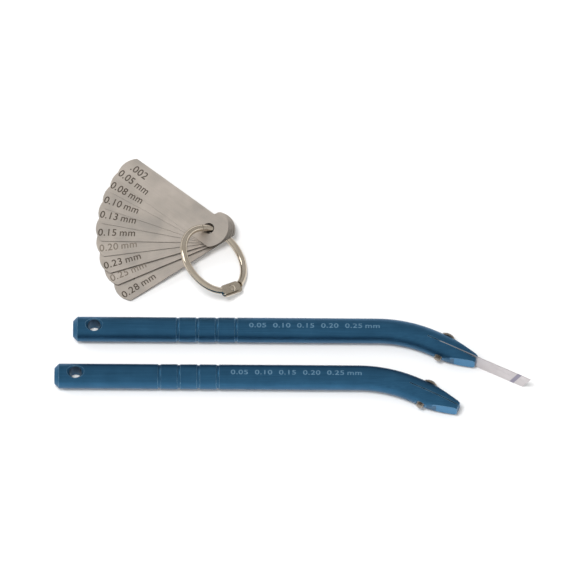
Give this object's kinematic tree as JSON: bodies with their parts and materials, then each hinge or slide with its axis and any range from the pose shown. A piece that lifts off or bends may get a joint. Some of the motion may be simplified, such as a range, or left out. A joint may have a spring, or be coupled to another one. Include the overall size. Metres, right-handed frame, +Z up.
{
  "type": "feeler gauge",
  "caption": "Feeler gauge kit: loose leaves fanned on a hinged ring, and two bent rod holders, one with a gauge blade clamped in its split nose.",
  "frame": {"origin": "on the bench under the middle of the whole kit as it lies", "axes": "+X along the holders towards their noses, +Y across the bench towards the leaf set, +Z up"},
  "size_m": [0.182, 0.1076, 0.0184],
  "materials": {
    "anodised_blue": "blue anodised, satin, turned",
    "screw_steel": "plain dark steel with a light oil film",
    "blade_steel": "bright ground spring steel",
    "ring_plating": "bright nickel plate on drawn wire",
    "rivet_metal": "nickel plate, peened",
    "leaf_steel": "cold rolled spring steel, etched figures"
  },
  "bodies": {
    "upper_holder": {"upper_holder": "anodised_blue"},
    "upper_clamp_screw": {"upper_clamp_screw": "screw_steel"},
    "gauge_blade": {"gauge_blade": "blade_steel"},
    "lower_holder": {"lower_holder": "anodised_blue"},
    "lower_clamp_screw": {"lower_clamp_screw": "screw_steel"},
    "ring": {"ring_fixed_half": "ring_plating", "ring_hinge_rivet": "rivet_metal"},
    "ring_opening_half": {"ring_opening_half": "ring_plating"},
    "leaf_0_05_mm": {"leaf_0_05_mm": "leaf_steel"},
    "leaf_0_08_mm": {"leaf_0_08_mm": "leaf_steel"},
    "leaf_0_10_mm": {"leaf_0_10_mm": "leaf_steel"},
    "leaf_0_13_mm": {"leaf_0_13_mm": "leaf_steel"},
    "leaf_0_15_mm": {"leaf_0_15_mm": "leaf_steel"},
    "leaf_0_20_mm": {"leaf_0_20_mm": "leaf_steel"},
    "leaf_0_23_mm": {"leaf_0_23_mm": "leaf_steel"},
    "leaf_0_25_mm": {"leaf_0_25_mm": "leaf_steel"},
    "leaf_0_28_mm": {"leaf_0_28_mm": "leaf_steel"}
  },
  "joints": [
    {"name": "upper_screw_turn", "type": "hinge", "parent": "upper_holder", "child": "upper_clamp_screw", "pos_m": [0.05774, -0.02677, 0.00476], "axis": [0.4289, 0.9033, 0], "range_deg": [0, 720]},
    {"name": "blade_swing", "type": "hinge", "parent": "upper_holder", "child": "gauge_blade", "pos_m": [0.05774, -0.02677, 0.00476], "axis": [0.4289, 0.9033, 0], "range_deg": [-60, 60]},
    {"name": "lower_holder_lift", "type": "slide", "parent": "upper_holder", "child": "lower_holder", "axis": [0, 0, 1], "range_m": [0, 0.06]},
    {"name": "lower_screw_turn", "type": "hinge", "parent": "lower_holder", "child": "lower_clamp_screw", "pos_m": [0.05079, -0.04652, 0.00476], "axis": [0.4289, 0.9033, 0], "range_deg": [0, 720]},
    {"name": "ring_lift", "type": "slide", "parent": "upper_holder", "child": "ring", "axis": [0, 0, 1], "range_m": [0, 0.06]},
    {"name": "ring_open", "type": "hinge", "parent": "ring", "child": "ring_opening_half", "pos_m": [-0.02362, -0.00309, 0.00662], "axis": [0.5542, 0.1361, 0.8211], "range_deg": [0, 60]},
    {"name": "leaf_0_05_mm_swing", "type": "hinge", "parent": "ring", "child": "leaf_0_05_mm", "pos_m": [-0.03236, 0.02189, 0.00838], "axis": [-0.1618, 0, 0.9868], "range_deg": [-179.4, 85.6]},
    {"name": "leaf_0_08_mm_swing", "type": "hinge", "parent": "ring", "child": "leaf_0_08_mm", "pos_m": [-0.03222, 0.0219, 0.00828], "axis": [-0.1618, 0, 0.9868], "range_deg": [-186.3, 78.7]},
    {"name": "leaf_0_10_mm_swing", "type": "hinge", "parent": "ring", "child": "leaf_0_10_mm", "pos_m": [-0.03206, 0.02192, 0.00817], "axis": [-0.1618, 0, 0.9868], "range_deg": [-196, 69]},
    {"name": "leaf_0_13_mm_swing", "type": "hinge", "parent": "ring", "child": "leaf_0_13_mm", "pos_m": [-0.03186, 0.02193, 0.00803], "axis": [-0.1618, 0, 0.9868], "range_deg": [-204.4, 60.6]},
    {"name": "leaf_0_15_mm_swing", "type": "hinge", "parent": "ring", "child": "leaf_0_15_mm", "pos_m": [-0.03163, 0.02194, 0.00788], "axis": [-0.1618, 0, 0.9868], "range_deg": [-214.5, 50.5]},
    {"name": "leaf_0_20_mm_swing", "type": "hinge", "parent": "ring", "child": "leaf_0_20_mm", "pos_m": [-0.0313, 0.02195, 0.00765], "axis": [-0.1618, 0, 0.9868], "range_deg": [-223.4, 41.6]},
    {"name": "leaf_0_23_mm_swing", "type": "hinge", "parent": "ring", "child": "leaf_0_23_mm", "pos_m": [-0.03098, 0.02194, 0.00744], "axis": [-0.1618, 0, 0.9868], "range_deg": [-233.4, 31.6]},
    {"name": "leaf_0_25_mm_swing", "type": "hinge", "parent": "ring", "child": "leaf_0_25_mm", "pos_m": [-0.03034, 0.0219, 0.00702], "axis": [-0.1618, 0, 0.9868], "range_deg": [-240.8, 24.2]},
    {"name": "leaf_0_28_mm_swing", "type": "hinge", "parent": "ring", "child": "leaf_0_28_mm", "pos_m": [-0.02967, 0.02181, 0.00657], "axis": [-0.1618, 0, 0.9868], "range_deg": [-251.6, 13.4]}
  ]
}
